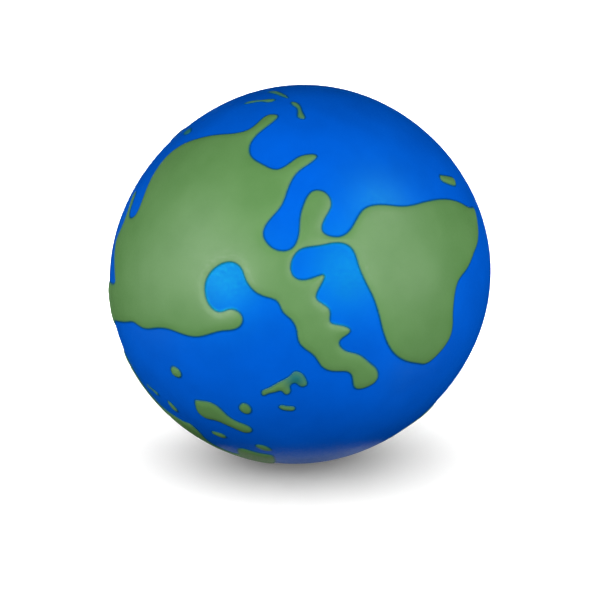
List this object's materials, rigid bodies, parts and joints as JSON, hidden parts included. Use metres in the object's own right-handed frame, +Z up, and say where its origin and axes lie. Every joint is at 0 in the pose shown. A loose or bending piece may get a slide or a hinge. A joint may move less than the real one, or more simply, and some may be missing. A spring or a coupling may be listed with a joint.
{
  "type": "stress ball",
  "caption": "Round foam ball for squeezing, printed as a blue and green globe, with raised land on a smooth sea and a small flat that it rests on.",
  "frame": {"origin": "centre of the small flat that the ball rests on", "axes": "+Z up as the ball lies, +X to the right and +Y away from a viewer who faces Europe and Africa"},
  "size_m": [0.0704, 0.0705, 0.0698],
  "materials": {
    "foam": "matte",
    "sea_skin": "satin",
    "land_coat": "satin"
  },
  "bodies": {
    "root": {"foam_core": "foam", "sea_skin": "sea_skin", "eurasia_africa": "land_coat", "americas": "land_coat", "antarctica": "land_coat", "australia": "land_coat", "greenland": "land_coat", "great_britain": "land_coat", "ireland": "land_coat", "iceland": "land_coat", "svalbard": "land_coat", "baffin_island": "land_coat", "newfoundland": "land_coat", "victoria_island": "land_coat", "banks_island": "land_coat", "madagascar": "land_coat", "sumatra": "land_coat", "java": "land_coat", "borneo": "land_coat", "luzon": "land_coat", "mindanao": "land_coat", "new_guinea": "land_coat", "new_zealand": "land_coat"}
  },
  "joints": []
}
